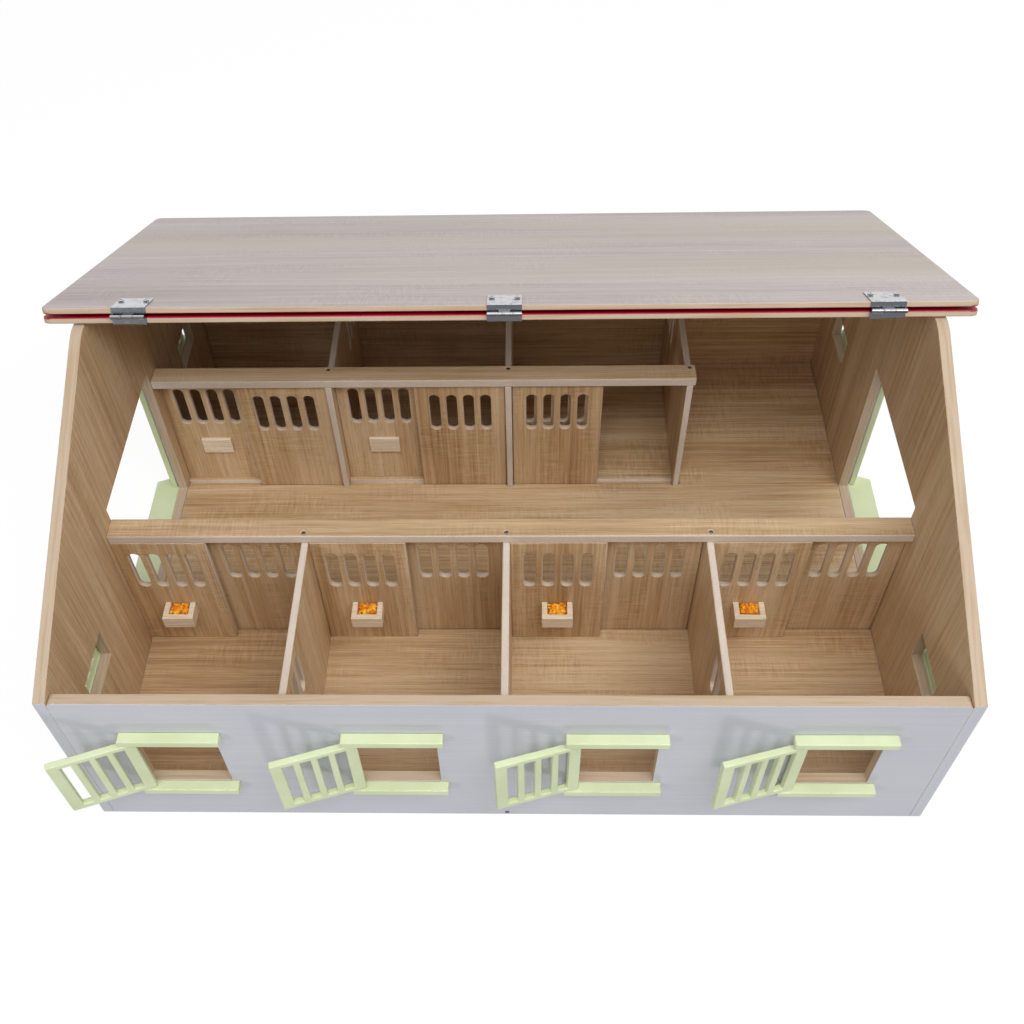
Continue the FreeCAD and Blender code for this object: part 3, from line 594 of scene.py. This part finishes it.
# Finishes of the nodes
oak_upright_x = oak_board("oak_across_x", "Z", "X")
oak_upright_y = oak_board("oak_across_y", "Z", "Y", PANEL_EDGE_WARMTH)
# The beams and floor wear a paler print, a painted sheen
oak_beam = oak_board("oak_beam", "X", "Z", FLAT_EDGE_WARMTH, BEAM_PAINTED_SHEEN, BEAM_GRAIN)
oak_floor = oak_board("oak_floor", "X", "Z", FLAT_EDGE_WARMTH, FLOOR_PAINTED_SHEEN, FLOOR_GRAIN)
front_finish = wall_board("front_wall_finish", "X", (0, -1, 0), WALL_EDGE_WARMTH)
back_finish = wall_board("back_wall_finish", "X", (0, 1, 0), WALL_EDGE_WARMTH)
finish_of = {
    "floor_board": (oak_floor, "oak_board"),
    "front_beam": (oak_beam, "oak_board"),
    "rear_beam": (oak_beam, "oak_board"),
    "front_wall": (front_finish, "wall_board"),
    "back_wall": (back_finish, "wall_board"),
}
# The end walls wear a paler print, painted light on their insides
for end, outward in (("left", (-1, 0, 0)), ("right", (1, 0, 0))):
    end_finish = wall_board(f"{end}_end_finish", "Z", outward, END_EDGE_WARMTH, END_PAINTED_LIGHT, painted_ends=True)
    finish_of[f"{end}_end_wall"] = (end_finish, "wall_board")
for half, painted_side in (("rear", 1), ("front", -1)):
    finish_of[f"roof_{half}_panel"] = (roof_board(f"{half}_roof_finish", painted_side), "roof_board")
green = green_paint("green_paint")
pale_wood = beech("pale_beech")
bright_steel = steel("bright_steel", ZINC_BRIGHT, ZINC_SPOT_AND_PAINTED_DARK)
dark_steel = steel("dark_steel", IRON_BRIGHT, IRON_SPOT_AND_PAINTED_DARK)
for node in nodes:
    if "partition" in node:
        finish_of[node] = (oak_upright_x, "oak_board")
    elif "_panel_" in node or ("_door_" in node and node[-1].isdigit()):
        finish_of[node] = (oak_upright_y, "oak_board")
    elif "shutter" in node and "pins" not in node:
        finish_of[node] = (green, "green_board")
    elif node.endswith(("end_door", "doorsteps", "lintels", "sills")):
        finish_of[node] = (green, "green_board")
    elif node in ("feed_troughs", "trough_blocks"):
        finish_of[node] = (pale_wood, "beech")
for node, (material, slot) in finish_of.items():
    eased(node, material, slot)
for node in ("hinge_fixed_leaves", "hinge_moving_leaves", "hinge_pins", "shutter_pins", "end_door_pins"):
    dress(nodes[node], bright_steel)


# Screws with crossed recesses
SCREW_SIDES = 28
DOME_STEPS = ((0.28, 0.7), (0.3, 0.3))
RECESS_LENGTH = 1.1
RECESS_WIDTH = 0.24
RECESS_DEPTH = 1.1
WOOD_SCREW_SEAT = 0.6 * MM
SCREW_CREASE = math.radians(30)
HINGE_SCREW_LENGTH = 5.2 * MM
HINGE_SCREW_SEAT = 0.9 * MM
HINGE_SCREW_REACH = HINGE_SCREW_LENGTH / 2 - HINGE_SCREW_SEAT
UPRIGHT = Matrix()
SLOPED = Matrix.Rotation(-ROOF_SLOPE, 4, "X")
SLOPED_OVER = SLOPED @ Matrix.Rotation(math.pi, 4, "X")
CORNER_DIGITS = 6
SPIN_SEED = 7
spin = random.Random(SPIN_SEED)


def cross_screw(radius, rise, dome):
    """A screw head standing on z = 0: a domed disc with a cross cut into it."""
    bpy.ops.object.select_all(action="DESELECT")
    bpy.ops.mesh.primitive_cylinder_add(vertices=SCREW_SIDES, radius=radius, depth=rise,
                                        location=(0, 0, rise / 2))
    head = bpy.context.active_object
    pick_faces(head, "Z")
    for inset_share, rise_share in DOME_STEPS:
        bpy.ops.mesh.inset(thickness=radius * inset_share)
        bpy.ops.transform.translate(value=(0, 0, dome * rise_share))
    bpy.ops.object.mode_set(mode="OBJECT")
    settle([head])
    for turn in (0, math.pi / 2):
        blade = new_cube(location=(0, 0, rise + dome))
        blade.scale = (radius * RECESS_LENGTH, radius * RECESS_WIDTH, rise * RECESS_DEPTH)
        blade.rotation_euler = (0, 0, turn)
        settle([blade])
        apply_modifier(head, "BOOLEAN", operation="DIFFERENCE", object=blade, solver="EXACT")
        bpy.data.objects.remove(blade)
    smooth_under(head, SCREW_CREASE)
    return head


def islands(node):
    """The boxes of a node's separate solids, as pairs of corners."""
    mesh = nodes[node].data
    keys = [tuple(round(value, CORNER_DIGITS) for value in vertex.co) for vertex in mesh.vertices]
    parent = {key: key for key in keys}

    def root(key):
        while parent[key] != key:
            parent[key] = parent[parent[key]]
            key = parent[key]
        return key

    for polygon in mesh.polygons:
        first, *others = [keys[index] for index in polygon.vertices]
        for other in others:
            parent[root(other)] = root(first)
    boxes = {}
    for key in parent:
        low, high = boxes.setdefault(root(key), (list(key), list(key)))
        for axis in range(3):
            low[axis] = min(low[axis], key[axis])
            high[axis] = max(high[axis], key[axis])
    return sorted((Vector(low), Vector(high)) for low, high in boxes.values())


def turned(place, tilt):
    """A place with a tilt and a random turn of the recess."""
    return Matrix.Translation(place) @ tilt @ Matrix.Rotation(spin.uniform(0, math.pi), 4, "Z")


def beam_screw_place(low, high):
    middle = (low + high) / 2
    return turned(Vector((middle.x, middle.y, high.z - WOOD_SCREW_SEAT)), UPRIGHT)


def wall_screw_place(low, high):
    middle = (low + high) / 2
    side = -1 if low.y < 0 else 1
    face = low.y + WOOD_SCREW_SEAT if side < 0 else high.y - WOOD_SCREW_SEAT
    return turned(Vector((middle.x, face, middle.z)), Matrix.Rotation(-side * math.pi / 2, 4, "X"))


def moving_screw_place(low, high):
    return turned((low + high) / 2 + SLOPE_NORMAL * HINGE_SCREW_REACH, SLOPED)


def fixed_screw_place(low, high):
    return turned((low + high) / 2 - SLOPE_NORMAL * HINGE_SCREW_REACH, SLOPED_OVER)


def set_screws(node, pattern, place_of, material):
    """Copies of one screw head in place of a node's screws."""
    name = node.replace("screws", "screw_heads")
    copies = []
    for index, (low, high) in enumerate(islands(node)):
        twin = duplicate(pattern, f"{name}_{index}")
        twin.matrix_world = place_of(low, high)
        settle([twin])
        copies.append(twin)
    piece = join(copies, name)
    dress(piece, material)
    stand_for(piece, node, body_of_node[node])


wood_screw = cross_screw(radius=1.8 * MM, rise=0.5 * MM, dome=0.1 * MM)
pan_screw = cross_screw(radius=2.4 * MM, rise=0.55 * MM, dome=0.35 * MM)
set_screws("beam_screws", wood_screw, beam_screw_place, dark_steel)
set_screws("wall_screws", wood_screw, wall_screw_place, dark_steel)
set_screws("hinge_moving_screws", pan_screw, moving_screw_place, bright_steel)
set_screws("hinge_fixed_screws", pan_screw, fixed_screw_place, bright_steel)
for pattern in (wood_screw, pan_screw):
    bpy.data.objects.remove(pattern)


# Feed in the troughs
GRAIN_SIZE = (2.6 * MM, 1.5 * MM, 0.8 * MM)
GRAIN_TIP = (0.7 * MM, 0, 0.15 * MM)
GRAIN_TIP_SHARES = (1, 0.55, 0.6)
GRAIN_TIP_EASING = 0.25 * MM
GRAIN_CREASE = math.radians(50)
GRAINS_PER_TROUGH = 130
GRAIN_SEED = 23
GRAIN_MARGIN = 1.6 * MM
GRAIN_SINK = (-0.7 * MM, 0.9 * MM)
GRAIN_LEAN = 0.7
GRAIN_ROLL = 0.5
GRAIN_SCALES = (0.75, 1.1)
BED_SHARE = 0.98
BED_DROP = 1.0 * MM
BED_CUTS = 6


def feed_grain():
    """One flat grain, drawn thinner at one end, with its tip eased to a ridge."""
    grain = new_cube()
    grain.scale = GRAIN_SIZE
    settle([grain])
    pick_faces(grain, "X")
    bpy.ops.mesh.extrude_region_move(TRANSFORM_OT_translate={"value": GRAIN_TIP})
    bpy.ops.transform.resize(value=GRAIN_TIP_SHARES)
    bpy.ops.mesh.bevel(offset=GRAIN_TIP_EASING, segments=1, clamp_overlap=True)
    bpy.ops.mesh.select_all(action="SELECT")
    bpy.ops.mesh.remove_doubles(threshold=WELD)
    bpy.ops.object.mode_set(mode="OBJECT")
    smooth_under(grain, GRAIN_CREASE)
    return grain


def feed_bed(low, high):
    """The body of the feed, just below its loose grains."""
    bed = new_cube(location=(low + high) / 2 - Vector((0, 0, BED_DROP / 2)))
    bed.scale = (*(high - low).to_2d() * BED_SHARE, high.z - low.z - BED_DROP)
    settle([bed])
    bpy.ops.object.mode_set(mode="EDIT")
    bpy.ops.mesh.select_all(action="SELECT")
    bpy.ops.mesh.subdivide(number_cuts=BED_CUTS)
    bpy.ops.object.mode_set(mode="OBJECT")
    return bed


def strewn(chance, low, high):
    """A random place, turn and size of a grain on top of the feed."""
    place = Vector((chance.uniform(low.x + GRAIN_MARGIN, high.x - GRAIN_MARGIN),
                    chance.uniform(low.y + GRAIN_MARGIN, high.y - GRAIN_MARGIN),
                    high.z - chance.uniform(*GRAIN_SINK)))
    turn = Matrix.Rotation(chance.uniform(0, 2 * math.pi), 4, "Z")
    lean = Matrix.Rotation(chance.uniform(-GRAIN_LEAN, GRAIN_LEAN), 4, "Y")
    roll = Matrix.Rotation(chance.uniform(-GRAIN_ROLL, GRAIN_ROLL), 4, "X")
    size = Matrix.Scale(chance.uniform(*GRAIN_SCALES), 4)
    return Matrix.Translation(place) @ turn @ lean @ roll @ size


def fill_troughs():
    grain = feed_grain()
    chance = random.Random(GRAIN_SEED)
    pile = []
    for count, (low, high) in enumerate(islands("trough_feed")):
        pile.append(feed_bed(low, high))
        for index in range(GRAINS_PER_TROUGH):
            twin = duplicate(grain, f"grain_{count}_{index}")
            twin.matrix_world = strewn(chance, low, high)
            pile.append(twin)
    settle(pile)
    feed = join(pile, "trough_grains")
    dress(feed, grain_feed("orange_feed"))
    stand_for(feed, "trough_feed", "stable")
    bpy.data.objects.remove(grain)


fill_troughs()

# Studio and camera
PAPER_SIZE = 12.0
PAPER_DROP = 0.2 * MM
PAPER_ROUGHNESS = 0.5
PAPER_GLOW = 1.04
PAPER_GLOW_SHARE = 0.88
WORLD_LIGHT = 0.42
LENS_MM = 40.494
SENSOR_MM = 36.0
CAMERA_SHIFT = 0.0219
CAMERA_PLACE = (0.01728, -0.67316, 0.9023)
CAMERA_TURN = (38.917, 1.556, 1.059)


def studio_floor():
    """A sheet of white paper that keeps the shadows."""
    bpy.ops.object.select_all(action="DESELECT")
    bpy.ops.mesh.primitive_plane_add(size=PAPER_SIZE, location=(0, 0, -PAPER_DROP))
    floor = bpy.context.active_object
    floor.name = "studio_floor"
    finish = Finish("studio_floor")
    shade = finish.blend(finish.seen(), PAPER_BOUNCE, PAPER_SEEN)
    paper = finish.node("ShaderNodeBsdfDiffuse", None, {"Color": shade, "Roughness": PAPER_ROUGHNESS})
    glow = finish.node("ShaderNodeEmission", None, {"Color": STUDIO_WHITE, "Strength": PAPER_GLOW})
    share = finish.seen_or_mirrored() * PAPER_GLOW_SHARE
    mixed = finish.node("ShaderNodeMixShader", None, {0: share, 1: paper, 2: glow})
    finish.node("ShaderNodeOutputMaterial", None, {"Surface": mixed})
    dress(floor, finish.material)
    floor.visible_shadow = False


def studio_world():
    """White behind everything, at a lower level where it lights the object."""
    world = bpy.data.worlds.new("studio")
    bpy.context.scene.world = world
    world.use_nodes = True
    shading = Shading(world.node_tree)
    level = shading.seen_or_mirrored() * (1 - WORLD_LIGHT) + WORLD_LIGHT
    background = shading.node("ShaderNodeBackground", None, {"Color": STUDIO_WHITE, "Strength": level})
    shading.node("ShaderNodeOutputWorld", None, {"Surface": background})


def softbox(name, place, target, size, power):
    data = bpy.data.lights.new(name, "AREA")
    data.shape = "RECTANGLE"
    data.size, data.size_y = size
    data.energy = power
    lamp = bpy.data.objects.new(name, data)
    bpy.context.scene.collection.objects.link(lamp)
    lamp.location = place
    lamp.rotation_euler = (Vector(target) - Vector(place)).to_track_quat("-Z", "Y").to_euler()
    return lamp


def photo_camera():
    data = bpy.data.cameras.new("photo_view")
    data.sensor_width = SENSOR_MM
    data.lens = LENS_MM
    data.shift_x = CAMERA_SHIFT
    camera = bpy.data.objects.new("photo_view", data)
    bpy.context.scene.collection.objects.link(camera)
    camera.location = CAMERA_PLACE
    camera.rotation_euler = [math.radians(angle) for angle in CAMERA_TURN]
    bpy.context.scene.camera = camera


studio_floor()
studio_world()
softbox("front_light", place=(0.3, -1.1, 2.05), target=(0, 0, 0.1), size=(1.8, 0.7), power=26)
softbox("left_light", place=(-1.1, -1.3, 0.7), target=(0, -0.27, 0.1), size=(0.3, 0.3), power=3.5)
table_reflection = softbox("table_reflection", place=(0.2, -1.0, -1.0), target=(0, -0.27, 0.1),
                           size=(0.16, 0.16), power=3.6)
table_reflection.visible_glossy = False
softbox("right_fill", place=(1.3, -0.3, 1.5), target=(-0.2, 0.1, 0.1), size=(1.4, 1.4), power=9)
photo_camera()
bpy.context.scene.view_settings.view_transform = "Standard"
